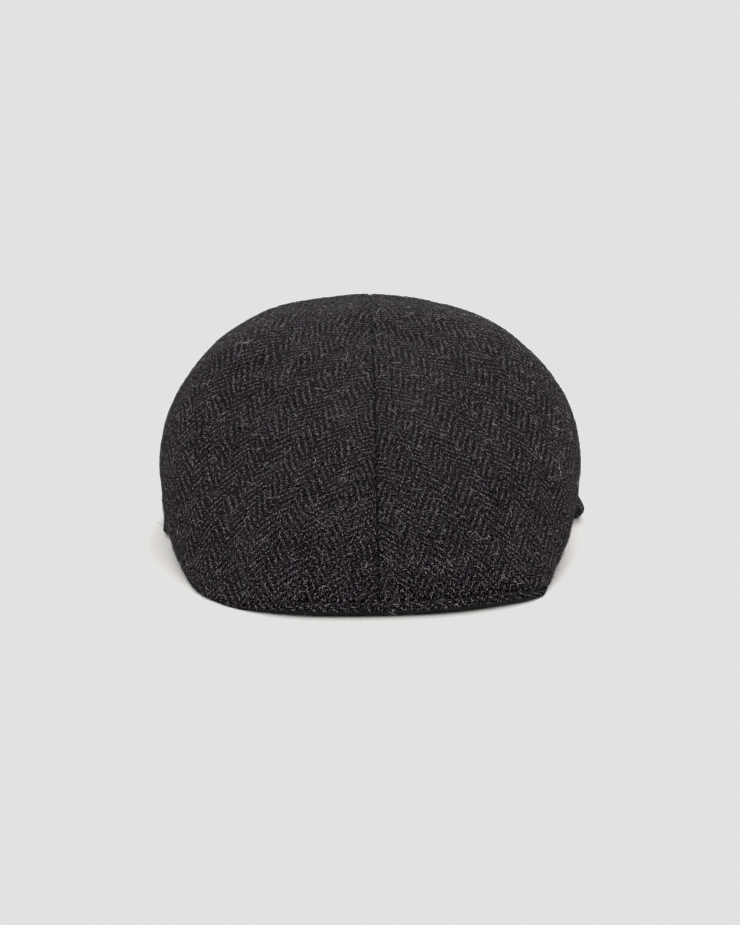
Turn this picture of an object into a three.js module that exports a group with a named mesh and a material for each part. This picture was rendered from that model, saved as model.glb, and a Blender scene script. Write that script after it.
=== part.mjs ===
// A flat cap of herringbone wool: two crown halves sewn along a centre seam, a stiff peak
// and a hem band with a rolled edge round the sides and back.
// Millimetres. +Z is up, the peak points to -Y, and the cap rests on Z = 0.
import * as THREE from "three";

// Driving dimensions of the whole cap
const capLength = 278;
const leftWidth = 93;
const rightWidth = 90;
const capHeight = 91;

// How the soft cap lies: its ridge is higher on the left, and its front edge comes further
// forward there, as slopes that fade down the cap and back from the front. Folds push towards a
// line at foldCentre of the height, reach their depth at foldStart of the way up, and fade over
// seamFree of the half width beside the seam. turnUp is how late, as a power, a section leaves
// the height of its ends for that of its side, at the hem and from half way up.
const ridgeLean = 0.01;
const frontSkew = 0.06;
const skewEnd = 0.45;
const foldCentre = 0.2;
const foldStart = 0.25;
const seamFree = 0.2;
const hemTurnUp = 5;
const topTurnUp = 2;
const turnUpFade = 0.5;

// Cloth and gaps
const cloth = 2;
const gap = 0.3;

// Peak
const peakThickness = 5.8;
const lipReach = 3.2;
const peakReach = 41;
const peakTip = 12;
const peakRise = 8;
const peakEnd = 0.29;
const lipTaper = 4;

// Hem band
const bandHeight = 14.5;
const rollThickness = 5;
const bandStartLeft = 0.435;
const bandStartRight = 0.5;
const bandTopRise = 0.4;

// Fineness of the meshes
const aroundSteps = 40;
const upSteps = 18;
const peakSteps = 36;
const noseSteps = 6;
const bandSteps = 56;
const slopeStep = 0.004;
const halvings = 30;

// A table as a list of rows whose cells go by the names of its columns
function rowsOf(columns, rows) {
  return rows.map((row) => Object.fromEntries(columns.map((name, i) => [name, row[i]])));
}

// The crown's sections, from the hem up to the ridge. Each is a half ring that leaves the seam
// in front, passes the side and meets the seam again behind. Places along the cap are shares of
// its length from the front, distances out are shares of its half width, heights are shares of
// its height, and square is the power of the ring's rounding in front and behind.
const crownSections = rowsOf([
  "frontAt", "frontUp", "sideAt", "sideOut", "sideUp", "backAt", "backUp", "squareFront", "squareBack",
], [
  [0.000, 0.000, 0.55, 0.912, 0.00, 0.972, 0.00, 3.3, 2.9],
  [0.032, 0.088, 0.54, 0.966, 0.11, 0.986, 0.13, 2.9, 2.6],
  [0.090, 0.215, 0.53, 0.992, 0.24, 0.996, 0.29, 2.6, 2.3],
  [0.178, 0.385, 0.53, 1.000, 0.40, 1.000, 0.46, 2.45, 2.3],
  [0.282, 0.560, 0.54, 0.960, 0.58, 0.988, 0.64, 2.3, 2.25],
  [0.390, 0.710, 0.57, 0.852, 0.755, 0.960, 0.79, 2.2, 2.2],
  [0.490, 0.830, 0.61, 0.665, 0.893, 0.917, 0.90, 2.1, 2.1],
  [0.565, 0.895, 0.66, 0.390, 0.972, 0.872, 0.96, 2.0, 2.0],
  [0.610, 0.930, 0.70, 0.000, 1.00, 0.840, 0.98, 2.0, 2.0],
]);

// Soft folds and dents of the crown. Each is centred at a share of the half width out from the
// seam, of the length from the front and of the height, it runs along the cap, across it and up
// by shares of those sizes, and its depth is a share of the height; a negative one stands out.
const folds = rowsOf(["side", "out", "at", "up", "alongReach", "outReach", "upReach", "depth"], [
  [-1, 0.62, 0.74, 0.90, 0.20, 0.14, 0.50, 0.008],
  [1, 0.64, 0.74, 0.90, 0.20, 0.12, 0.50, 0.002],
  [-1, 0.45, 0.80, 0.95, 0.20, 0.16, 0.50, -0.014],
  [1, 0.45, 0.80, 0.95, 0.20, 0.16, 0.50, -0.010],
  [-1, 0.84, 0.24, 0.16, 0.10, 0.30, 0.20, 0.022],
  [1, 0.86, 0.30, 0.14, 0.10, 0.30, 0.16, 0.020],
  [-1, 0.95, 0.72, 0.55, 0.12, 0.30, 0.22, 0.020],
  [1, 0.95, 0.78, 0.60, 0.14, 0.30, 0.20, 0.012],
]);

// The peak's section behind its nose: places inward are shares of its width, the underside's
// height is a share of the peak's rise, and thick is a share of its thickness at the nose
const peakSection = [
  { in: 0.28, under: 0.00, thick: 0.96 },
  { in: 0.55, under: 0.22, thick: 0.88 },
  { in: 0.80, under: 0.62, thick: 0.80 },
  { in: 1.00, under: 1.00, thick: 0.72 },
];

// The hem band's section, once round from the foot that is sewn to the crown's edge. Distances
// out from the crown are shares of the roll's thickness, heights are shares of the band's, and
// sway is the share of the band's standing off that the point follows.
const bandSection = [
  { out: 0.08, up: 0.03, sway: 0.00 },
  { out: 0.30, up: 0.00, sway: 0.60 },
  { out: 0.72, up: 0.00, sway: 1.00 },
  { out: 0.94, up: 0.09, sway: 1.00 },
  { out: 1.02, up: 0.22, sway: 1.00 },
  { out: 0.94, up: 0.36, sway: 0.95 },
  { out: 0.72, up: 0.46, sway: 0.85 },
  { out: 0.56, up: 0.56, sway: 0.78 },
  { out: 0.53, up: 0.80, sway: 0.66 },
  { out: 0.44, up: 0.96, sway: 0.60 },
  { out: 0.28, up: 1.00, sway: 0.60 },
  { out: 0.14, up: 0.92, sway: 0.62 },
  { out: 0.12, up: 0.50, sway: 0.80 },
  { out: 0.16, up: 0.26, sway: 0.85 },
  { out: 0.08, up: 0.17, sway: 0.00 },
];

// The band's run from its left end round the back to its right end: how far it stands off the
// crown as a share of the roll's thickness, and how high it is as a share of its height
const bandRun = [
  { along: 0.00, off: 0.00, high: 0.60 },
  { along: 0.06, off: 0.05, high: 0.90 },
  { along: 0.16, off: 0.00, high: 1.00 },
  { along: 0.50, off: 0.10, high: 1.00 },
  { along: 0.78, off: 0.20, high: 1.00 },
  { along: 0.95, off: 1.25, high: 1.04 },
  { along: 0.98, off: 0.80, high: 0.95 },
  { along: 1.00, off: 0.00, high: 0.60 },
];

const wool = new THREE.MeshStandardMaterial({ color: 0x2c2a2e, roughness: 0.95, metalness: 0 });

// A value between four evenly spaced ones, on a Catmull-Rom curve from b to c
function between(a, b, c, d, t) {
  const slopeIn = (c - a) / 2;
  const slopeOut = (d - b) / 2;
  const t2 = t * t;
  const t3 = t2 * t;
  return (2 * t3 - 3 * t2 + 1) * b + (t3 - 2 * t2 + t) * slopeIn
    + (3 * t2 - 2 * t3) * c + (t3 - t2) * slopeOut;
}

// One column of the crown's sections at rise, from 0 at the hem to 1 at the ridge. Past the
// ridge the other half mirrors this one, so every column turns back there and sideOut turns over.
function crownColumn(column, rise) {
  const last = crownSections.length - 1;
  const row = Math.min(Math.floor(rise * last), last - 1);
  const at = (i) => crownSections[i][column];
  const before = row > 0 ? at(row - 1) : 2 * at(0) - at(1);
  const mirrored = column === "sideOut" ? -at(last - 1) : at(last - 1);
  const after = row + 2 <= last ? at(row + 2) : mirrored;
  return between(before, at(row), at(row + 1), after, rise * last - row);
}

// A point of the crown's outer face on side 1, the right, or -1, the left: turn goes from 0 at
// the seam in front to 1 behind
function crownPoint(side, turn, rise) {
  const angle = turn * Math.PI;
  const ahead = Math.cos(angle);
  const aside = Math.max(Math.sin(angle), 0);
  const front = turn < 0.5;
  const square = crownColumn(front ? "squareFront" : "squareBack", rise);
  const reach = Math.pow(Math.abs(ahead) ** square + aside ** square, 1 / square);
  const sideAt = crownColumn("sideAt", rise);
  const endAt = crownColumn(front ? "frontAt" : "backAt", rise);
  const sideUp = crownColumn("sideUp", rise);
  const endUp = crownColumn(front ? "frontUp" : "backUp", rise);
  const inFront = peakThickness + gap;
  const share = sideAt + (endAt - sideAt) * Math.abs(ahead) / reach;
  const out = crownColumn("sideOut", rise) * aside / reach;
  const fade = THREE.MathUtils.smoothstep(rise, 0, turnUpFade);
  const toEnd = 1 - Math.pow(aside / reach, hemTurnUp + (topTurnUp - hemTurnUp) * fade);
  const lowest = front ? inFront * toEnd : 0;
  const up = sideUp + (endUp - sideUp) * toEnd;
  const halfWidth = side > 0 ? rightWidth : leftWidth;
  const x = side * (gap / 2 + (halfWidth - gap / 2) * out);
  const z = lowest + (capHeight - lowest) * up;
  const skew = frontSkew * Math.pow(Math.max(1 - share / skewEnd, 0), 2);
  const y = lipReach + (capLength - lipReach) * share - capLength / 2 + skew * x;
  const dent = foldDepth(side, out, share, up) * Math.min(rise / foldStart, 1);
  const inward = new THREE.Vector3(-x, 0, capHeight * foldCentre - z).normalize();
  return new THREE.Vector3(x, y, z - ridgeLean * x * (z / capHeight) ** 2)
    .addScaledVector(inward, dent);
}

// How deep the folds are where the crown is out, at and up, as shares of its own sizes. None
// reaches the seam.
function foldDepth(side, out, at, up) {
  let depth = 0;
  for (const fold of folds.filter((row) => row.side === side)) {
    const away = ((out - fold.out) / fold.outReach) ** 2
      + ((at - fold.at) / fold.alongReach) ** 2
      + ((up - fold.up) / fold.upReach) ** 2;
    depth += fold.depth * capHeight * Math.exp(-away);
  }
  return depth * Math.min(out / seamFree, 1);
}

// The unit vector out of the crown's outer face
function crownNormal(side, turn, rise) {
  const around = crownPoint(side, Math.min(turn + slopeStep, 1), rise)
    .sub(crownPoint(side, Math.max(turn - slopeStep, 0), rise));
  const upward = crownPoint(side, turn, Math.min(rise + slopeStep, 1))
    .sub(crownPoint(side, turn, Math.max(rise - slopeStep, 0)));
  return around.cross(upward).multiplyScalar(side).normalize();
}

// The level direction out of the hem at a turn
function hemOutward(side, turn) {
  const along = crownPoint(side, Math.min(turn + slopeStep, 1), 0)
    .sub(crownPoint(side, Math.max(turn - slopeStep, 0), 0));
  return new THREE.Vector3(along.y, -along.x, 0).multiplyScalar(side).normalize();
}

// A closed mesh from a grid of points whose rows are loops: skin between rows, caps at both ends
function tubeOfLoops(loops) {
  const count = loops[0].length;
  const positions = loops.flat().flatMap((p) => [p.x, p.y, p.z]);
  const index = [];
  for (let i = 0; i + 1 < loops.length; i++) {
    for (let j = 0; j < count; j++) {
      const a = i * count + j;
      const b = i * count + (j + 1) % count;
      index.push(a, b, b + count, a, b + count, a + count);
    }
  }
  const lastLoop = (loops.length - 1) * count;
  for (let j = 1; j + 1 < count; j++) {
    index.push(0, j + 1, j);
    index.push(lastLoop, lastLoop + j, lastLoop + j + 1);
  }
  const geometry = new THREE.BufferGeometry();
  geometry.setAttribute("position", new THREE.Float32BufferAttribute(positions, 3));
  geometry.setIndex(index);
  geometry.computeVertexNormals();
  return geometry;
}

// One half of the crown as a cloth wall. side is 1 for the right half and -1 for the left.
function crownHalf(side) {
  const positions = [];
  const index = [];
  const across = aroundSteps + 1;
  const layer = across * (upSteps + 1);
  const outer = (i, j) => j * across + i;
  const inner = (i, j) => layer + j * across + i;
  const face = side > 0
    ? (a, b, c, d) => index.push(a, b, c, a, c, d)
    : (a, b, c, d) => index.push(a, c, b, a, d, c);

  for (const depth of [0, cloth]) {
    for (let j = 0; j <= upSteps; j++) {
      for (let i = 0; i <= aroundSteps; i++) {
        const turn = i / aroundSteps;
        const rise = j / upSteps;
        const outward = j === 0 ? hemOutward(side, turn) : crownNormal(side, turn, rise);
        const atSeam = i === 0 || i === aroundSteps || j === upSteps;
        if (atSeam) {
          outward.setX(0).normalize();
        }
        const point = crownPoint(side, turn, rise).addScaledVector(outward, -depth);
        positions.push(side * Math.max(side * point.x, gap / 2), point.y, point.z);
      }
    }
  }
  for (let j = 0; j < upSteps; j++) {
    for (let i = 0; i < aroundSteps; i++) {
      face(outer(i, j), outer(i + 1, j), outer(i + 1, j + 1), outer(i, j + 1));
      face(inner(i, j), inner(i, j + 1), inner(i + 1, j + 1), inner(i + 1, j));
    }
  }
  for (let i = 0; i < aroundSteps; i++) {
    face(outer(i, 0), inner(i, 0), inner(i + 1, 0), outer(i + 1, 0));
    face(outer(i, upSteps), outer(i + 1, upSteps), inner(i + 1, upSteps), inner(i, upSteps));
  }
  for (let j = 0; j < upSteps; j++) {
    face(outer(0, j), outer(0, j + 1), inner(0, j + 1), inner(0, j));
    const [foot, top] = [outer(aroundSteps, j), outer(aroundSteps, j + 1)];
    face(foot, foot + layer, top + layer, top);
  }
  const geometry = new THREE.BufferGeometry();
  geometry.setAttribute("position", new THREE.Float32BufferAttribute(positions, 3));
  geometry.setIndex(index);
  geometry.computeVertexNormals();
  return new THREE.Mesh(geometry, wool);
}

// The stiff peak: a crescent under the crown's front edge. Each section starts at the rounded
// nose, runs in to the hollow edge at the head opening and comes back underneath. It thins
// towards the two ends with the room under the crown.
function peakPiece() {
  const loops = [];
  for (let i = 0; i <= peakSteps; i++) {
    const way = 1 - (2 * i) / peakSteps;
    const side = way < 0 ? -1 : 1;
    const turn = Math.abs(way) * peakEnd;
    const edge = crownPoint(side, turn, 0);
    const outward = hemOutward(side, turn);
    if (turn === 0) {
      outward.set(0, -1, 0);
      edge.setX(0);
    }
    const end = crownPoint(side, peakEnd, 0);
    const aside = edge.x / end.x;
    const thick = edge.z - gap;
    const nose = edge.clone().addScaledVector(outward, lipReach * (1 - Math.pow(aside, lipTaper)));
    const hollow = new THREE.Vector3(
      aside * (end.x - side * peakTip),
      (peakReach - capLength / 2) * (1 - aside * aside) + end.y * aside * aside,
      edge.z,
    );
    const inward = hollow.sub(nose).setZ(0);
    const rise = peakRise * (1 - aside * aside);
    const width = inward.length();
    inward.normalize();
    const loop = [];
    for (let k = 0; k <= noseSteps; k++) {
      const angle = (Math.PI * k) / noseSteps;
      loop.push([(thick / 2) * (1 - Math.sin(angle)), (thick / 2) * (1 - Math.cos(angle))]);
    }
    for (const row of peakSection) {
      loop.push([row.in * width, row.under * rise + row.thick * thick]);
    }
    for (const row of [...peakSection].reverse()) {
      loop.push([row.in * width, row.under * rise]);
    }
    loops.push(loop.map(([into, up]) => new THREE.Vector3(
      nose.x + inward.x * into,
      nose.y + inward.y * into,
      up,
    )));
  }
  return new THREE.Mesh(tubeOfLoops(loops), wool);
}

// The hem band: its section is carried round the hem from the left side to the right, off the
// crown by a gap
function hemBand() {
  const loops = [];
  for (let i = 0; i <= bandSteps; i++) {
    const along = i / bandSteps;
    const way = 2 * along - 1;
    const side = way < 0 ? -1 : 1;
    const start = side > 0 ? bandStartRight : bandStartLeft;
    const turn = 1 - (1 - start) * Math.abs(way);
    const outward = hemOutward(side, turn);
    const standOff = valueAlong(bandRun, "off", along);
    const high = bandHeight * valueAlong(bandRun, "high", along);
    const loop = bandSection.map((row) => {
      const up = row.up * high;
      const face = crownAtHeight(side, turn, up);
      const off = gap + (row.out + row.sway * standOff) * rollThickness;
      return new THREE.Vector3(face.x + outward.x * off, face.y + outward.y * off, up);
    });
    loops.push(loop);
  }
  return new THREE.Mesh(tubeOfLoops(loops), wool);
}

// The crown's outer face at a turn and a height near the hem
function crownAtHeight(side, turn, up) {
  let low = 0;
  let high = bandTopRise;
  for (let k = 0; k < halvings; k++) {
    const middle = (low + high) / 2;
    if (crownPoint(side, turn, middle).z < up) {
      low = middle;
    } else {
      high = middle;
    }
  }
  return crownPoint(side, turn, (low + high) / 2);
}

// A column of a table of places along a run, smoothed between its rows
function valueAlong(rows, column, along) {
  const next = rows.findIndex((row) => row.along >= along);
  if (next <= 0) {
    return rows[0][column];
  }
  const from = rows[next - 1];
  const to = rows[next];
  const t = THREE.MathUtils.smoothstep(along, from.along, to.along);
  return from[column] + (to[column] - from[column]) * t;
}

const group = new THREE.Group();
const pieces = {
  crown_left: crownHalf(-1),
  crown_right: crownHalf(1),
  peak: peakPiece(),
  back_band: hemBand(),
};
for (const [name, mesh] of Object.entries(pieces)) {
  mesh.name = name;
  group.add(mesh);
}

// The cap rests on Z = 0 with the middle of its box over the origin
const box = new THREE.Box3().setFromObject(group);
const middle = box.getCenter(new THREE.Vector3());
for (const mesh of group.children) {
  mesh.geometry.translate(-middle.x, -middle.y, -box.min.z);
}

export default group;
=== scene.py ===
"""A flat cap of dark herringbone wool, seen from the front and a little from above"""

import math

import bpy
import numpy as np
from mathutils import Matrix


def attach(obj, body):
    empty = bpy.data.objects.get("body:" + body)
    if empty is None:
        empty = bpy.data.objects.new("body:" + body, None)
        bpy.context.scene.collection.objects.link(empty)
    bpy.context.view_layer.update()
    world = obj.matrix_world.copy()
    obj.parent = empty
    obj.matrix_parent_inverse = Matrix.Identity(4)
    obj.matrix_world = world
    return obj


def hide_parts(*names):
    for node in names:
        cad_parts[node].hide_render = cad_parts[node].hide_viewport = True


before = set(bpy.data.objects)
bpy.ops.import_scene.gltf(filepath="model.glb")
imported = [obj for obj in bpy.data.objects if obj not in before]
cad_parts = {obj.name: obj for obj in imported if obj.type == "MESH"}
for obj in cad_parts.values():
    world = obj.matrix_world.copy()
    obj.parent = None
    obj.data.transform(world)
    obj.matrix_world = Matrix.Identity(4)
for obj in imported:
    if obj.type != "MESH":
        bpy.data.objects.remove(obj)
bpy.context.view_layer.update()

# Crown shape
# The crown is two panels of wool cloth sewn along a centre seam, which runs from the peak over
# the top to the back. It lies slack and a little lopsided, with its front edge on the peak.
CAP_LENGTH = 0.278
HALF_WIDTH = {-1: 0.093, 1: 0.090}
CAP_HEIGHT = 0.091
SEAM_X = -0.0012
MIDDLE_Y = 0.0004
HALF_GAP = 0.00005
CLOTH = 0.002
LIP_REACH = 0.0032
FRONT_EDGE_UP = 0.0061
FRONT_SKEW = 0.06  # how much the front lies askew
TOP_TILT = 0.01  # how much lower the top lies towards the right

# Sections from the hem up to the ridge, as shares of the length, half width and height
SECTIONS = {
    "front_at": [0.000, 0.032, 0.090, 0.178, 0.282, 0.390, 0.490, 0.565, 0.610],
    "front_up": [0.000, 0.088, 0.215, 0.385, 0.560, 0.710, 0.830, 0.895, 0.930],
    "side_at": [0.55, 0.54, 0.53, 0.53, 0.54, 0.57, 0.61, 0.66, 0.70],
    "side_out": [0.912, 0.966, 0.992, 1.000, 0.960, 0.852, 0.665, 0.390, 0.000],
    "side_up": [0.00, 0.11, 0.24, 0.40, 0.58, 0.755, 0.893, 0.972, 1.00],
    "back_at": [0.972, 0.986, 0.996, 1.000, 0.988, 0.960, 0.917, 0.872, 0.840],
    "back_up": [0.00, 0.13, 0.29, 0.46, 0.64, 0.79, 0.90, 0.96, 0.98],
    "square_front": [3.0, 2.85, 2.6, 2.45, 2.3, 2.2, 2.1, 2.0, 2.0],
    "square_back": [2.9, 2.6, 2.3, 2.3, 2.25, 2.2, 2.1, 2.0, 2.0],
}

# The front edge from the seam out to the side: how far the cloth spreads out at the corner and
# how far the lip stands out beyond it, in millimetres, and how high the edge lies, as a share
HEM = {
    "beside": [0.00, 0.45, 0.52, 0.60, 0.66, 0.72, 0.78, 0.84, 0.90, 0.95, 1.00],
    "spread_left": [0, -0.5, 0.0, 1.0, 2.0, 2.9, 3.6, 3.3, 1.8, 0.6, 0.4],
    "spread_right": [0, -1.2, -0.9, -0.4, 0.8, 2.4, 3.6, 2.0, -1.6, -3.0, -1.2],
    "lip_left": [3.2, 3.1, 2.5, 1.5, 0.8, 0, -1.5, -3.5, -4.5, -4.5, -4.5],
    "lip_right": [3.2, 3.2, 3.1, 3.0, 2.8, 2.4, 1.2, -0.5, -2.5, -4.0, -4.5],
    "high_left": [1.0, 0.97, 0.82, 0.46, 0.14, 0, 0, 0, 0, 0, 0],
    "high_right": [1.0, 1.0, 1.0, 0.95, 0.85, 0.68, 0.40, 0.10, 0, 0, 0],
}

# Soft folds: side, out, at, up, reach along, across and up, and depth as a share of the height
FOLDS = [
    (-1, 0.62, 0.74, 0.90, 0.20, 0.14, 0.50, 0.008),
    (1, 0.64, 0.74, 0.90, 0.20, 0.12, 0.50, 0.002),
    (-1, 0.45, 0.80, 0.95, 0.20, 0.16, 0.50, -0.008),
    (1, 0.45, 0.80, 0.95, 0.20, 0.16, 0.50, -0.006),
    (-1, 0.84, 0.24, 0.16, 0.10, 0.30, 0.20, 0.022),
    (1, 0.86, 0.30, 0.14, 0.10, 0.30, 0.16, 0.020),
    (-1, 0.95, 0.72, 0.55, 0.12, 0.30, 0.22, 0.020),
    (1, 0.95, 0.78, 0.60, 0.14, 0.30, 0.20, 0.012),
]


def section(column, rise):
    """A column of the sections on a smooth curve, at rise from 0 at the hem to 1 at the ridge"""
    values = np.array(SECTIONS[column])
    last = len(values) - 1
    row = np.clip(np.floor(rise * last).astype(int), 0, last - 1)
    t = rise * last - row
    turned = -values[-2] if column == "side_out" else values[-2]
    run = np.concatenate([[2 * values[0] - values[1]], values, [turned]])
    a, b, c, d = run[row], run[row + 1], run[row + 2], run[row + 3]
    curve = (2 * t**3 - 3 * t**2 + 1) * b + (3 * t**2 - 2 * t**3) * c
    return curve + (t**3 - 2 * t**2 + t) * (c - a) / 2 + (t**3 - t**2) * (d - b) / 2


def smooth(value, low, high):
    t = np.clip((value - low) / (high - low), 0, 1)
    return t * t * (3 - 2 * t)


def hem_value(name, side, beside):
    return np.interp(beside, HEM["beside"], HEM[name + ("_left" if side < 0 else "_right")])


def crown_point(side, turn, rise):
    """The crown's outer face: turn goes from 0 at the seam in front to 1 behind"""
    turn, rise = np.broadcast_arrays(np.asarray(turn, float), np.asarray(rise, float))
    ahead = np.abs(np.cos(turn * math.pi))
    aside = np.maximum(np.sin(turn * math.pi), 0)
    front = turn < 0.5
    square = np.where(front, section("square_front", rise), section("square_back", rise))
    reach = (ahead**square + aside**square) ** (1 / square)
    side_at, side_up = section("side_at", rise), section("side_up", rise)
    end_at = np.where(front, section("front_at", rise), section("back_at", rise))
    end_up = np.where(front, section("front_up", rise), section("back_up", rise))
    share = side_at + (end_at - side_at) * ahead / reach
    out = section("side_out", rise) * aside / reach

    # Heights run from the side's to the end's, and the front edge rides on the peak
    to_end = 1 - (aside / reach) ** (5 - 3 * smooth(rise, 0, 0.5))
    lowest = np.where(front, FRONT_EDGE_UP * hem_value("high", side, aside / reach), 0)
    up = side_up + (end_up - side_up) * to_end

    x = side * (HALF_GAP + (HALF_WIDTH[side] - HALF_GAP) * out)
    skew = FRONT_SKEW * np.maximum(1 - share / 0.45, 0) ** 2
    y = LIP_REACH + (CAP_LENGTH - LIP_REACH) * share - CAP_LENGTH / 2 + skew * x
    z = lowest + (CAP_HEIGHT - lowest) * up

    # The cloth spreads out at the corners near the hem
    fuller = np.where(front, hem_value("spread", side, aside / reach), 0) / 1000
    fuller = fuller * (1 - smooth(rise, 0, np.where(fuller < 0, 0.26, 0.15)))
    to_side = (aside / reach) ** 2 / HALF_WIDTH[side]
    to_front = (ahead / reach) ** 2 / (CAP_LENGTH / 2)
    x = x + side * fuller * to_side / np.hypot(to_side, to_front)
    y = y - fuller * to_front / np.hypot(to_side, to_front)

    depth = 0
    for which, at_out, at, at_up, along, across, upward, deep in FOLDS:
        if which == side:
            away = ((out - at_out) / across) ** 2 + ((share - at) / along) ** 2
            depth += deep * CAP_HEIGHT * np.exp(-away - ((up - at_up) / upward) ** 2)
    depth = depth * np.minimum(out / 0.2, 1) * np.minimum(rise / 0.25, 1)
    inward = np.stack([-x, 0 * x, 0.2 * CAP_HEIGHT - z], axis=-1)
    inward /= np.linalg.norm(inward, axis=-1, keepdims=True)
    point = np.stack([x, y, z - TOP_TILT * x * (z / CAP_HEIGHT) ** 2], axis=-1)
    return point + inward * depth[..., None] + [SEAM_X, MIDDLE_Y, 0]


def grid_normals(grid, flip=1):
    """Unit normals of a grid of points"""
    normal = np.cross(np.gradient(grid, axis=1), np.gradient(grid, axis=0)) * flip
    return normal / np.maximum(np.linalg.norm(normal, axis=-1, keepdims=True), 1e-12)


# Crown cloth
# Each panel is a 2 mm wall whose front edge is turned under. The seam lies in a narrow groove
# between the two seam allowances, which lift the cloth a little on either side of it.
AROUND, UPWARD = 280, 130
SEAM_GROOVE = 0.0013
SEAM_LIFT = 0.0003  # how far the allowances lift the cloth
PUCKER_DEEP = 0.00022
PUCKER_LENGTH = 0.0085
BROAD_SWELL, FINE_SWELL = 0.00045, 0.00012
EDGE_ROLL = 0.0021  # radius of the turned-under front edge
CLOTH_SPAN = 0.42  # the size of cloth that a UV map covers, in metres
GRAIN_LEAN = 20  # how far the weave's columns lean from the front seam, in degrees


def uneven(points, low, high, count, seed):
    """Soft unevenness from plane waves of lengths between low and high, about 1 high"""
    pick = np.random.default_rng(seed)
    total = np.zeros(points.shape[:-1])
    for _ in range(count):
        direction = pick.normal(size=3)
        direction /= np.linalg.norm(direction)
        turns = points @ direction / pick.uniform(low, high) + pick.uniform()
        total += np.sin(2 * math.pi * turns)
    return total / math.sqrt(count)


def add_mesh(name, points, faces, corner_uv, material):
    """A smooth mesh piece with its cloth map, riding on the one body"""
    mesh = bpy.data.meshes.new(name)
    mesh.from_pydata(points.tolist(), [], faces)
    corners = np.zeros(len(mesh.loops), np.int32)
    mesh.loops.foreach_get("vertex_index", corners)
    layer = mesh.uv_layers.new(name="OFBake")
    layer.data.foreach_set("uv", corner_uv[corners].astype(np.float32).ravel())
    mesh.polygons.foreach_set("use_smooth", [True] * len(mesh.polygons))
    mesh.materials.append(material)
    piece = bpy.data.objects.new(name, mesh)
    bpy.context.scene.collection.objects.link(piece)
    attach(piece, "root")
    return piece


def quads(rows, columns, first=0, flip=False):
    """Faces of a grid whose points are numbered row by row"""
    j, i = np.meshgrid(np.arange(rows - 1), np.arange(columns - 1), indexing="ij")
    a = first + (j * columns + i).ravel()
    face = np.stack([a, a + 1, a + columns + 1, a + columns], axis=1)
    return face[:, ::-1] if flip else face


def steps_along(grid):
    return np.linalg.norm(np.diff(grid, axis=1), axis=-1)


def lay_flat(side):
    """The panel laid flat with least stretch, as cloth places in metres along turn and rise"""
    columns, rows = 97, 45
    turn, rise = np.meshgrid(np.linspace(0, 1, columns), np.linspace(0, 1, rows))
    points = crown_point(side, turn, rise)
    mesh = bpy.data.meshes.new("pattern")
    mesh.from_pydata(points.reshape(-1, 3).tolist(), [], quads(rows, columns).tolist())
    layer = mesh.uv_layers.new(name="flat")
    pattern = bpy.data.objects.new("pattern", mesh)
    bpy.context.scene.collection.objects.link(pattern)
    bpy.context.view_layer.objects.active = pattern
    bpy.ops.object.mode_set(mode="EDIT")
    bpy.ops.mesh.select_all(action="SELECT")
    bpy.ops.uv.unwrap(method="MINIMUM_STRETCH", iterations=20)
    bpy.ops.object.mode_set(mode="OBJECT")
    corners = np.zeros(len(mesh.loops), np.int32)
    mesh.loops.foreach_get("vertex_index", corners)
    uv = np.zeros(len(mesh.loops) * 2, np.float32)
    mesh.uv_layers["flat"].data.foreach_get("uv", uv)
    flat = np.zeros((rows * columns, 2))
    flat[corners] = uv.reshape(-1, 2)
    flat = flat.reshape(rows, columns, 2)
    bpy.data.objects.remove(pattern)
    bpy.data.meshes.remove(mesh)
    flat *= np.median(steps_along(points)[: rows // 2] / steps_along(flat)[: rows // 2])
    across, up = flat[1, columns // 4] - flat[1, 0], flat[rows // 3, 0] - flat[0, 0]
    if side * (across[0] * up[1] - across[1] * up[0]) < 0:
        flat[..., 0] *= -1
    # The grain leans from the front seam, and the two panels mirror each other
    seam = flat[int(rows * 0.45), 0] - flat[0, 0]
    lean = math.radians(90 - side * GRAIN_LEAN) - math.atan2(seam[1], seam[0])
    turned = np.array([[math.cos(lean), math.sin(lean)], [-math.sin(lean), math.cos(lean)]])
    flat = flat @ turned
    return flat - flat[0, 0]


def between_grid(coarse, rows, columns):
    """A coarse grid's values at the places rows and columns, given as shares from 0 to 1"""
    down, over = coarse.shape[0] - 1, coarse.shape[1] - 1
    j = np.minimum((rows * down).astype(int), down - 1)
    i = np.minimum((columns * over).astype(int), over - 1)
    v = (rows * down - j)[..., None]
    u = (columns * over - i)[..., None]
    low = coarse[j, i] * (1 - u) + coarse[j, i + 1] * u
    return low * (1 - v) + (coarse[j + 1, i] * (1 - u) + coarse[j + 1, i + 1] * u) * v


def seam_normals(line, flip):
    """Unit normals along a line in the seam's plane"""
    step = np.gradient(line, axis=0)
    normal = np.stack([0 * step[:, 0], -step[:, 2], step[:, 1]], axis=-1) * flip
    return normal / np.linalg.norm(normal, axis=-1, keepdims=True)


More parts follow.
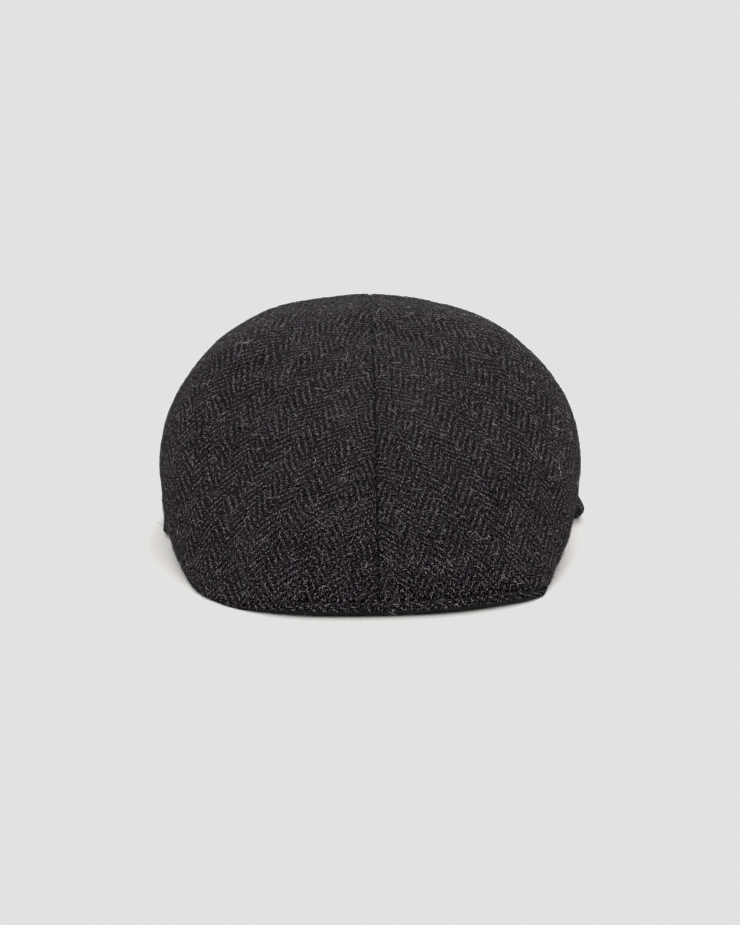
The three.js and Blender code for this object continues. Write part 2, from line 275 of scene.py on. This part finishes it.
def crown_cloth(side):
    """The outer face with its seam groove, turned-under edge and unevenness, and its cloth map"""
    rise_steps = np.linspace(0, 1, UPWARD + 1) ** 1.25
    turn, rise = np.meshgrid(np.linspace(0, 1, AROUND + 1), rise_steps)
    base = crown_point(side, turn, rise)
    normal = grid_normals(base, side)
    normal[:, 0] = seam_normals(base[:, 0], 1)
    normal[:, -1] = seam_normals(base[:, -1], -1)
    normal[-1, 1:-1] = seam_normals(base[-1, 1:-1], 1)
    from_seam = np.abs(base[..., 0] - SEAM_X)
    up_length = np.cumsum(np.linalg.norm(np.diff(base, axis=0, prepend=base[:1]), axis=-1), axis=0)
    deep = 1 - 0.8 * smooth(base[..., 2], 0.078, 0.090)
    groove = SEAM_GROOVE * deep * np.exp(-((from_seam / 0.0008) ** 2))
    allowance = SEAM_LIFT * deep * np.exp(-(((from_seam - 0.0040) / 0.003) ** 2))
    pucker = np.sin(up_length / PUCKER_LENGTH * 2 * math.pi + 2 * np.sin(up_length / 0.031))
    pucker = pucker * PUCKER_DEEP * np.exp(-(from_seam / 0.006)) * smooth(from_seam, 0, 0.0015)
    roll = EDGE_ROLL * (1 - np.sqrt(1 - np.clip(1 - up_length / EDGE_ROLL, 0, 1) ** 2))
    swell = uneven(base, 0.030, 0.075, 14, 3 + side) * BROAD_SWELL
    swell += uneven(base, 0.009, 0.020, 24, 30 + side) * FINE_SWELL
    swell *= smooth(from_seam, 0, 0.012) * smooth(up_length, 0, 0.010)
    raised = allowance + pucker + swell - groove - roll
    outer = base + normal * raised[..., None]
    inner = base - normal * CLOTH
    for face, gap in ((outer, HALF_GAP), (inner, 0)):
        beyond = (side * (face[..., 0] - SEAM_X) < gap) | (turn == 0) | (turn == 1) | (rise == 1)
        face[..., 0] = np.where(beyond, SEAM_X + side * gap, face[..., 0])
        face[..., 2] = np.maximum(face[..., 2], 0.0002)
    places = between_grid(lay_flat(side), rise, turn)
    return outer, inner, places


def closed_wall(outer, inner, flip):
    """Points and faces of a closed wall between two grids of the same size"""
    rows, columns = outer.shape[:2]
    layer = rows * columns
    points = np.concatenate([outer.reshape(-1, 3), inner.reshape(-1, 3)])
    number = np.arange(layer).reshape(rows, columns)
    rim = np.concatenate([number[0, :-1], number[:-1, -1], number[-1, :0:-1], number[:0:-1, 0]])
    ahead = np.roll(rim, -1)
    edge = np.stack([rim, rim + layer, ahead + layer, ahead], axis=1)
    edge = edge[:, ::-1] if flip else edge
    faces = [quads(rows, columns, 0, flip), quads(rows, columns, layer, not flip), edge]
    return points, np.concatenate(faces).tolist()


def to_map(places, margin=0.02):
    """Cloth places in metres as UVs, moved so that the lowest corner is at the margin"""
    low = places.reshape(-1, 2).min(axis=0)
    return (places - low) / CLOTH_SPAN + margin


# Wool cloth
# A 2/2 twill whose yarns turn every ten threads into herringbone columns 8 mm wide. The yarns
# are spun from near-black wool with some grey, and the milled face blurs the weave a little.
THREAD = 0.83  # spacing of the threads along a column, in millimetres
PICK = 1.10  # spacing of the threads across it
THREADS = 10


class Value:
    """A socket that takes part in Python expressions, which add Math nodes"""

    def __init__(self, nodes, socket):
        self.nodes, self.socket = nodes, socket

    def math(self, operation, *others):
        return self.nodes.add("ShaderNodeMath", {"operation": operation}, [self, *others])

    def __add__(self, other):
        return self.math("ADD", other)

    def __radd__(self, other):
        return self.math("ADD", other)

    def __sub__(self, other):
        return self.math("SUBTRACT", other)

    def __rsub__(self, other):
        return self.math("MULTIPLY_ADD", -1, other)

    def __mul__(self, other):
        return self.math("MULTIPLY", other)

    def __rmul__(self, other):
        return self.math("MULTIPLY", other)

    def __truediv__(self, other):
        return self.math("DIVIDE", other)

    def floor(self):
        return self.math("FLOOR")

    def part(self):
        return self.math("FRACT")

    def clamp(self):
        return self.math("MINIMUM", 1).math("MAXIMUM", 0)

    def wave(self):
        """From 0 to 1 and back once in each unit, 1 at the quarter"""
        return (self * (2 * math.pi)).math("SINE") * 0.5 + 0.5


class Nodes:
    """The nodes of one material"""

    def __init__(self, name):
        self.material = bpy.data.materials.new(name)
        self.material.use_nodes = True
        self.tree = self.material.node_tree
        self.shader = self.tree.nodes["Principled BSDF"]

    def add(self, kind, settings=None, inputs=(), output=0):
        node = self.tree.nodes.new(kind)
        for name, value in (settings or {}).items():
            if name == "stops":
                ramp = node.color_ramp.elements
                while len(ramp) < len(value):
                    ramp.new(0.5)
                for element, (place, colour) in zip(ramp, value):
                    element.position, element.color = place, (*colour, 1)
            else:
                setattr(node, name, value)
        pairs = inputs.items() if isinstance(inputs, dict) else enumerate(inputs)
        for key, value in pairs:
            self.feed(node.inputs[key], value)
        return Value(self, node.outputs[output])

    def feed(self, socket, value):
        if isinstance(value, Value):
            self.tree.links.new(value.socket, socket)
        else:
            socket.default_value = value

    def set(self, **inputs):
        for name, value in inputs.items():
            self.feed(self.shader.inputs[name.replace("_", " ")], value)

    def noise(self, vector, scale, detail=2, roughness=0.5):
        settings = {"noise_dimensions": "2D"}
        inputs = {"Vector": vector, "Scale": scale, "Detail": detail, "Roughness": roughness}
        return self.add("ShaderNodeTexNoise", settings, inputs)

    def mix(self, share, low, high):
        inputs = {0: share, 6: low, 7: high}
        return self.add("ShaderNodeMix", {"data_type": "RGBA"}, inputs, 2)


def wool_cloth():
    nodes = Nodes("herringbone wool")
    places = nodes.add("ShaderNodeUVMap", {"uv_map": "OFBake"})
    span = CLOTH_SPAN * 1000
    inputs = {"Vector": places, "Scale": span}
    cloth = nodes.add("ShaderNodeVectorMath", {"operation": "SCALE"}, inputs)
    across = nodes.add("ShaderNodeSeparateXYZ", {}, [cloth], 0)
    along = nodes.add("ShaderNodeSeparateXYZ", {}, [cloth], 1)

    # The cloth draws out of square here and there, and each thread wanders a little
    drift = nodes.noise(cloth, 0.035, 1)
    shake = nodes.noise(cloth, 0.6, 2)
    across = across + (drift - 0.5) * 5 + (shake - 0.5) * 1.0
    along = along + (drift - 0.5) * 4

    column = (across / (THREAD * THREADS)).floor()
    odd = (column / 2).part() * 2
    way = odd * 2 - 1
    thread = across / THREAD
    jitter = (nodes.noise(cloth, 0.9, 2) - 0.5) * 0.5
    turns = (along - way * (thread.floor() + 0.5) * PICK) / (4 * PICK) + odd * 0.37 + jitter
    warp_up = ((turns.wave() - 0.40) * 2.2).clamp()
    thread_round = thread.part() * (1 - thread.part()) * 4
    pick = along / PICK
    pick_round = pick.part() * (1 - pick.part()) * 4

    # Grey fibres in the yarn lie along it, so they are long in the warp and in the weft
    stretch_warp = nodes.add("ShaderNodeCombineXYZ", {}, [across * 1.9, along * 0.7])
    stretch_weft = nodes.add("ShaderNodeCombineXYZ", {}, [across * 0.7, along * 1.9])
    flecks = ((nodes.noise(stretch_warp, 1.1, 2, 0.6) - 0.36) * 3.4).clamp()
    flecks_weft = ((nodes.noise(stretch_weft, 1.1, 2, 0.6) - 0.42) * 3.4).clamp()
    milled = nodes.noise(cloth, 2.0, 1, 0.7)
    lumps = nodes.noise(cloth, 1.3, 0, 0.5)
    patches = nodes.noise(cloth, 0.06, 2)

    grains = warp_up * thread_round * (flecks * 0.7 + 0.3)
    grains = grains + (1 - warp_up) * pick_round * flecks_weft * 0.35
    dots = ((milled - 0.5) * 5.5 + (lumps - 0.5) * 6.0 + 0.32).clamp()
    grey = dots * (grains * 0.85 + 0.50) + (patches - 0.5) * 0.15
    stops = [
        (0.00, (0.0003, 0.0002, 0.0003)),
        (0.20, (0.0022, 0.0015, 0.0023)),
        (0.42, (0.0120, 0.0093, 0.0124)),
        (0.70, (0.0600, 0.0520, 0.0612)),
        (1.00, (0.2600, 0.2430, 0.2610)),
    ]
    shade = nodes.add("ShaderNodeValToRGB", {"stops": stops}, [grey.clamp()])

    # Some fibres are a little browner and others a little bluer
    hue = ((nodes.noise(cloth, 0.8, 1) - 0.5) * 3 + 0.5).clamp()
    hue = nodes.mix(hue, (1.08, 1.0, 0.93, 1), (0.94, 0.99, 1.09, 1))
    colour = nodes.add("ShaderNodeVectorMath", {"operation": "MULTIPLY"}, [shade, hue])
    height = warp_up * (thread_round * 0.6 + 0.4) + (1 - warp_up) * pick_round * 0.4
    height = height * 0.30 + (milled - 0.5) * 0.35
    bump = nodes.add("ShaderNodeBump", {}, {"Strength": 1.0, "Distance": 0.001, "Height": height})
    nodes.set(Base_Color=colour, Roughness=0.95, Normal=bump)
    nodes.set(Specular_IOR_Level=0.01, Sheen_Weight=0.01, Sheen_Roughness=0.25)
    nodes.shader.inputs["Sheen Tint"].default_value = (0.62, 0.58, 0.64, 1)
    return nodes.material


cloth_material = wool_cloth()
panels = {}
for side, name in ((-1, "crown_left"), (1, "crown_right")):
    outer, inner, places = crown_cloth(side)
    points, faces = closed_wall(outer, inner, side < 0)
    uv = to_map(places)
    uv = np.concatenate([uv.reshape(-1, 2), uv.reshape(-1, 2) + [0.48, 0]])
    piece = add_mesh(name + "_cloth", points, faces, uv, cloth_material)
    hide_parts(name)
    panels[name] = (outer, side)


# Wool hairs
# Short curly hairs of light and dark wool stand out of the milled face and blur the outline.
# Each is a narrow ribbon of a few bent lengths, lying close to the cloth or lifting off it.
HAIR_LENGTHS = 4
LONG_SHARE = 0.03
RISING_SHARE = 0.16


def hair_material():
    nodes = Nodes("wool hair")
    places = nodes.add("ShaderNodeUVMap", {"uv_map": "OFBake"})
    shade = nodes.add("ShaderNodeSeparateXYZ", {}, [places], 0)
    stops = [
        (0.00, (0.010, 0.009, 0.010)),
        (0.40, (0.050, 0.046, 0.049)),
        (0.75, (0.220, 0.205, 0.215)),
        (1.00, (0.640, 0.610, 0.620)),
    ]
    colour = nodes.add("ShaderNodeValToRGB", {"stops": stops}, [shade])
    nodes.set(Base_Color=colour, Roughness=0.8, Specular_IOR_Level=0.1)
    return nodes.material


def hairs(name, grid, flip, count, seed, lift=1.0):
    """count hairs scattered evenly over a grid of points, a few of them long and light"""
    pick = np.random.default_rng(seed)
    cell = np.cross(grid[:-1, 1:] - grid[:-1, :-1], grid[1:, :-1] - grid[:-1, :-1])
    area = np.linalg.norm(cell, axis=-1)
    chosen = pick.choice(area.size, size=count, p=(area / area.sum()).ravel())
    j, i = np.unravel_index(chosen, area.shape)
    u, v = pick.random((2, count, 1))
    root = (grid[j, i] * (1 - u) + grid[j, i + 1] * u) * (1 - v)
    root += (grid[j + 1, i] * (1 - u) + grid[j + 1, i + 1] * u) * v
    normal = grid_normals(grid, flip)[j, i]
    first = np.cross(normal, pick.normal(size=(count, 3)))
    first /= np.linalg.norm(first, axis=1, keepdims=True)
    second = np.cross(normal, first)
    length = np.exp(pick.normal(math.log(0.0019), 0.50, count)).clip(0.0008, 0.0075)
    long = pick.random(count) < LONG_SHARE
    length = np.where(long, pick.uniform(0.003, 0.006, count), length)
    bend = pick.normal(0, 1, count) * 560 + np.sign(pick.normal(size=count)) * 420
    rising = pick.random(count) < RISING_SHARE
    tip = np.where(rising, pick.uniform(0.3, 0.9, count) * length * 0.35, 0.00010) * lift
    heading = np.zeros(count)
    place = root.copy()
    line = []
    for k in range(HAIR_LENGTHS + 1):
        t = k / HAIR_LENGTHS
        high = 0.00008 + tip * t + 0.00022 * np.sin(math.pi * t) * pick.uniform(0.3, 1.4, count)
        way = np.cos(heading)[:, None] * first + np.sin(heading)[:, None] * second
        line.append((place + normal * high[:, None], way))
        place = place + way * (length / HAIR_LENGTHS)[:, None]
        heading = heading + bend * length / HAIR_LENGTHS + pick.normal(0, 0.25, count)
    roll = pick.uniform(-0.9, 0.9, (count, 1))
    width = pick.uniform(0.000030, 0.000060, (count, 1)) * np.where(long, 1.2, 1)[:, None]
    points = []
    for k, (centre, way) in enumerate(line):
        flat = np.cross(normal, way)
        narrow = 0.3 if k == HAIR_LENGTHS else 1
        broad = (np.cos(roll) * flat + np.sin(roll) * normal) * width * narrow
        points += [centre - broad, centre + broad]
    points = np.stack(points, axis=1).reshape(-1, 3)
    points[:, 2] = np.maximum(points[:, 2], 0.0001)
    start = np.arange(count)[:, None] * 2 * (HAIR_LENGTHS + 1)
    faces = [start + 2 * k + np.array([[0, 1, 3, 2]]) for k in range(HAIR_LENGTHS)]
    faces = np.concatenate(faces).tolist()
    shade = np.where(long, pick.uniform(0.65, 1, count), pick.beta(0.8, 3.0, count)) * 0.94 + 0.03
    shade = shade[:, None, None]
    along = np.linspace(0.1, 0.9, HAIR_LENGTHS + 1)[None, :, None]
    edge = np.array([-0.004, 0.004])[None, None, :]
    uv = np.stack(np.broadcast_arrays(shade + edge, along + 0 * edge), axis=-1).reshape(-1, 2)
    return add_mesh(name, points, faces, uv, hair_wool)


# None grow from the turned-under edge, which keeps the dark line above the lip clear
hair_wool = hair_material()
for name, (outer, side) in panels.items():
    hairs(name + "_hairs", outer[4:], side, 23000, 5 + side)


# Peak
# A stiff curved board wrapped in the same cloth, sewn under the crown's front edge. Its rounded
# lip shows as a narrow strip, and its underside lies on the surface.
PEAK_END = 0.29  # where the peak ends, as a share of the way from front to back
LIP_STEPS = 17
PEAK_GAP = 0.0006  # between the lip and the crown's edge above it
HOLLOW_SIDE = 0.012  # the peak's ends are this wide
HOLLOW_FRONT = 0.041  # and its middle reaches this far back


def hem_outward(side, turn):
    step = 0.004
    along = crown_point(side, np.minimum(turn + step, 1), 0)
    along = along - crown_point(side, np.maximum(turn - step, 0), 0)
    out = np.stack([along[..., 1], -along[..., 0], 0 * along[..., 0]], axis=-1) * side
    return out / np.linalg.norm(out, axis=-1, keepdims=True)


def underside_cloth_and_lip_shade():
    """Black cloth on the peak's underside, drawn up over the lip's lower half as painted shade"""
    nodes = Nodes("black underside cloth and painted lip shade")
    places = nodes.add("ShaderNodeUVMap", {"uv_map": "OFBake"})
    threads = nodes.noise(places, 900, 2)
    stops = [(0.3, (0.0030, 0.0028, 0.0030)), (0.7, (0.0090, 0.0084, 0.0088))]
    colour = nodes.add("ShaderNodeValToRGB", {"stops": stops}, [threads])
    nodes.set(Base_Color=colour, Roughness=0.8, Specular_IOR_Level=0.2)
    return nodes.material


def hem_run(way):
    """Hem points and outward directions from 1 on the right through 0 at the seam to -1"""
    turn = np.abs(way)
    points = np.where((way < 0)[:, None], crown_point(-1, turn, 0), crown_point(1, turn, 0))
    out = np.where((way < 0)[:, None], hem_outward(-1, turn), hem_outward(1, turn))
    return points, out


def hem_place(side, turn):
    """How far out from the seam a turn of the front edge lies, from 0 to 1"""
    ahead, aside = np.cos(turn * math.pi), np.abs(np.sin(turn * math.pi))
    square = section("square_front", np.zeros(1))[0]
    return aside / (ahead**square + aside**square) ** (1 / square)


def tube(loops):
    """A closed tube of loops with its cloth map: along the run, and round each loop"""
    run, around = loops.shape[:2]
    ring = np.concatenate([loops, loops[:, :1]], axis=1)
    distance = np.linalg.norm(np.diff(ring, axis=1, prepend=ring[:, :1]), axis=-1).cumsum(axis=1)
    steps = np.linalg.norm(np.diff(loops[:, 0], axis=0, prepend=loops[:1, 0]), axis=-1)
    along = steps.cumsum()[:, None] + 0 * distance
    uv = to_map(np.stack([distance, along], axis=-1)).reshape(-1, 2)
    ends = np.concatenate([loops[:1].mean(axis=1), loops[-1:].mean(axis=1)])
    end_uv = uv[[0, -1]] + [0, 0.004]
    points = np.concatenate([ring.reshape(-1, 3), ends])
    faces = quads(run, around + 1)
    first = np.arange(around)
    last = first + (run - 1) * (around + 1)
    centre = run * (around + 1)
    start_cap = np.stack([first + 1, first, 0 * first + centre], axis=1)
    end_cap = np.stack([last, last + 1, 0 * last + centre + 1], axis=1)
    faces = faces.tolist() + start_cap.tolist() + end_cap.tolist()
    return points, faces, np.concatenate([uv, end_uv]), ring


def outward_faces(points, faces):
    """The faces, turned over if their volume comes out negative"""
    triangles = [face[:3] for face in faces]
    triangles += [[face[0], face[2], face[3]] for face in faces if len(face) == 4]
    a, b, c = points[np.array(triangles)].transpose(1, 0, 2)
    inside_out = (a * np.cross(b, c)).sum() < 0
    return [face[::-1] for face in faces] if inside_out else faces


ways = PEAK_END * np.linspace(1, -1, 181)
edge, outward = hem_run(ways)
end_left, end_right = crown_point(-1, PEAK_END, 0), crown_point(1, PEAK_END, 0)
half = np.where(ways < 0, end_left[0] - SEAM_X, end_right[0] - SEAM_X)
end_y = np.where(ways < 0, end_left[1], end_right[1])
aside = np.abs((edge[:, 0] - SEAM_X) / half)
beside = np.where(ways < 0, hem_place(-1, ways), hem_place(1, ways))
stands_out = np.where(ways < 0, hem_value("lip", -1, beside), hem_value("lip", 1, beside)) / 1000
thick = np.maximum(edge[:, 2] - PEAK_GAP, 0.0012)
nose = edge + outward * stands_out[:, None]
hollow_x = SEAM_X + (edge[:, 0] - SEAM_X) * (np.abs(half) - HOLLOW_SIDE) / np.abs(half)
hollow_y = (HOLLOW_FRONT - CAP_LENGTH / 2 + MIDDLE_Y) * (1 - aside**2) + end_y * aside**2
inward = np.stack([hollow_x, hollow_y, edge[:, 2]], axis=-1) - nose
inward[:, 2] = 0
width = np.linalg.norm(inward, axis=1)
inward /= width[:, None]
loops = []
for angle in np.linspace(0, math.pi, LIP_STEPS):
    # The lip's lower half runs back further than its upper half
    bevel = 1.8 if angle < math.pi / 2 else 1
    into = thick / 2 * (1 - math.sin(angle)) * bevel
    loops.append((into, thick / 2 * (1 - math.cos(angle))))
rise = 0.008 * (1 - aside**2)

# Inwards from the lip: the share of the width, how far the underside rises, and the thickness
inner_rows = [
    (0.14, 0.00, 0.98),
    (0.28, 0.00, 0.96),
    (0.55, 0.22, 0.88),
    (0.80, 0.62, 0.80),
    (1.00, 1.00, 0.72),
]
for share, under, body in inner_rows:
    loops.append((share * width, under * rise + body * thick))
for share, under, body in inner_rows[::-1]:
    loops.append((share * width, under * rise))
section_points = []
for into, up in loops:
    x, y = nose[:, 0] + inward[:, 0] * into, nose[:, 1] + inward[:, 1] * into
    section_points.append(np.stack([x, y, up + 0 * into], axis=-1))
points, faces, uv, ring = tube(np.stack(section_points, axis=1))
peak_piece = add_mesh("peak_cloth", points, outward_faces(points, faces), uv, cloth_material)
peak_piece.data.materials.append(underside_cloth_and_lip_shade())
lip_from, body_to = LIP_STEPS // 2, LIP_STEPS + len(inner_rows) - 2
# The lip's lower half and the underside take the black cloth, which on the lip is painted shade
places = [min(face.vertices) % ring.shape[1] for face in peak_piece.data.polygons]
black = [int(place < lip_from or place > body_to) for place in places]
peak_piece.data.polygons.foreach_set("material_index", black)
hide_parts("peak")
hairs("peak_hairs", ring[14:-14, 6:17], -1, 1500, 41, 0.8)


# Back band
# A strip of the cloth round the sides and the back, folded into a thick rolled edge below and
# sewn to the crown's edge. It stands off a little at the right side.
BAND_HIGH = 0.0145
BAND_THICK = 0.005
BAND_GAP = 0.0003
BAND_START = {-1: 0.456, 1: 0.519}  # as a share of the way from front to back

# The section from the foot upwards: out as a share of the thickness, up as a share of the
# height, and how much a stand-off moves it
BAND_SECTION = [
    (0.08, 0.03, 0.00), (0.30, 0.00, 0.60), (0.72, 0.00, 1.00), (0.94, 0.09, 1.00),
    (1.02, 0.22, 1.00), (0.94, 0.36, 0.92), (0.68, 0.46, 0.74), (0.50, 0.56, 0.56),
    (0.44, 0.80, 0.40), (0.38, 0.96, 0.34), (0.26, 1.00, 0.34), (0.14, 0.92, 0.34),
    (0.12, 0.50, 0.80), (0.16, 0.26, 0.85), (0.08, 0.17, 0.00),
]

# From the left end to the right one: how far the band stands off, and how high it is
BAND_RUN = {
    "along": [0.00, 0.06, 0.16, 0.50, 0.78, 0.95, 0.985, 1.00],
    "off": [0.10, 0.00, 0.00, 0.10, 0.20, 0.95, 1.05, 1.00],
    "high": [0.50, 0.80, 1.00, 1.00, 1.00, 1.04, 0.98, 0.85],
}


def crown_at_height(side, turn, up):
    low, high = np.zeros_like(turn), np.full_like(turn, 0.4)
    for _ in range(24):
        middle = (low + high) / 2
        below = crown_point(side, turn, middle)[..., 2] < up
        low, high = np.where(below, middle, low), np.where(below, high, middle)
    return crown_point(side, turn, (low + high) / 2)


def smoothed(run, column, along):
    places, values = np.array(run["along"]), np.array(run[column])
    row = np.clip(np.searchsorted(places, along) - 1, 0, len(places) - 2)
    t = smooth(along, places[row], places[row + 1])
    return values[row] + (values[row + 1] - values[row]) * t


def closed_curve(rows, count):
    """count points on a smooth closed curve through the rows"""
    table = np.array(rows)
    place = np.arange(count) / count * len(table)
    row = place.astype(int)
    t = (place - row)[:, None]
    a, b, c, d = (table[(row + k) % len(table)] for k in (-1, 0, 1, 2))
    curve = (2 * t**3 - 3 * t**2 + 1) * b + (3 * t**2 - 2 * t**3) * c
    return curve + (t**3 - 2 * t**2 + t) * (c - a) / 2 + (t**3 - t**2) * (d - b) / 2


band_along = np.linspace(0, 1, 261)
band_way = 2 * band_along - 1
band_start = np.where(band_way < 0, BAND_START[-1], BAND_START[1])
band_turn = 1 - (1 - band_start) * np.abs(band_way)
left = band_way < 0
band_out = np.where(left[:, None], hem_outward(-1, band_turn), hem_outward(1, band_turn))
stand_off = smoothed(BAND_RUN, "off", band_along)
band_high = BAND_HIGH * smoothed(BAND_RUN, "high", band_along)
band_points = []
for out, up_share, sway in closed_curve(BAND_SECTION, 45):
    up = np.maximum(up_share, 0) * band_high
    on_left, on_right = crown_at_height(-1, band_turn, up), crown_at_height(1, band_turn, up)
    face = np.where(left[:, None], on_left, on_right)
    off = BAND_GAP + (out + sway * stand_off) * BAND_THICK
    place = face + band_out * off[:, None]
    place[:, 2] = up
    band_points.append(place)
band_loops = np.stack(band_points, axis=1)

# Both ends of the band are rounded over a short way
to_end = np.minimum(np.minimum(band_along, 1 - band_along) / 0.009, 1)
blunt = np.maximum(np.sqrt(1 - (1 - to_end) ** 2), 0.2)[:, None, None]
band_middle = band_loops.mean(axis=1, keepdims=True)
band_loops = band_middle + (band_loops - band_middle) * blunt
points, faces, uv, ring = tube(band_loops)
band_piece = add_mesh("band_cloth", points, outward_faces(points, faces), uv, cloth_material)
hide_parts("back_band")
hairs("band_hairs", ring[:, 2:32], -1, 6000, 43, 0.8)


# Floor, light and camera
# A plain pale floor under even studio light, with two soft lights from behind, the right one
# stronger, and a weak one in front, seen at the photograph's angle.
floor_mesh = bpy.data.meshes.new("floor")
reach = 30.0
corners = [(-reach, -reach, 0), (reach, -reach, 0), (reach, reach, 0), (-reach, reach, 0)]
floor_mesh.from_pydata(corners, [], [(0, 1, 2, 3)])
floor = bpy.data.objects.new("floor", floor_mesh)
bpy.context.scene.collection.objects.link(floor)
floor_nodes = Nodes("pale floor")
floor_nodes.set(Base_Color=(0.890, 0.868, 0.838, 1), Roughness=1.0, Specular_IOR_Level=0.0)
floor_mesh.materials.append(floor_nodes.material)

world = bpy.data.worlds.new("studio")
world.use_nodes = True
world.node_tree.nodes["Background"].inputs["Color"].default_value = (1, 1, 1, 1)
world.node_tree.nodes["Background"].inputs["Strength"].default_value = 0.80
bpy.context.scene.world = world
for name, energy, spread, tilt, turn in (
    ("back light right", 2.5, 26, -60, -16),
    ("back light left", 1.5, 26, -60, 16),
    ("front fill", 0.45, 60, 45, 0),
):
    light = bpy.data.lights.new(name, "SUN")
    light.energy = energy
    light.angle = math.radians(spread)
    lamp = bpy.data.objects.new(name, light)
    lamp.rotation_euler = (math.radians(tilt), 0, math.radians(turn))
    bpy.context.scene.collection.objects.link(lamp)

FOCAL = 3435  # in pixels of an image 740 pixels wide
VIEW_FROM = 1.5
view = bpy.data.cameras.new("camera")
view.sensor_fit = "HORIZONTAL"
view.sensor_width = 36
view.lens = FOCAL / 740 * 36
view.clip_end = 100
camera = bpy.data.objects.new("camera", view)
height, azimuth = math.radians(13), math.radians(0.9)
aim = np.array([-0.0027, 0.0, 0.0318])
ahead = np.array([
    math.sin(azimuth) * math.cos(height),
    math.cos(azimuth) * math.cos(height),
    -math.sin(height),
])
camera.location = aim - VIEW_FROM * ahead
camera.rotation_euler = (math.pi / 2 - height, 0, -azimuth)
bpy.context.scene.collection.objects.link(camera)
bpy.context.scene.camera = camera
bpy.context.scene.view_settings.view_transform = "Standard"

# The floor is exposed past white, as for a catalogue, so only its deeper shadows show
white = 0.761
bpy.context.scene.view_settings.use_curve_mapping = True
curves = bpy.context.scene.view_settings.curve_mapping
curves.extend = "HORIZONTAL"
curve = curves.curves[3]
curve.points[1].location = (1, white)
curve.points.new(white - 0.002, white - 0.002)
curve.points.new(white + 0.002, white)
for point in curve.points:
    point.handle_type = "VECTOR"
curves.update()
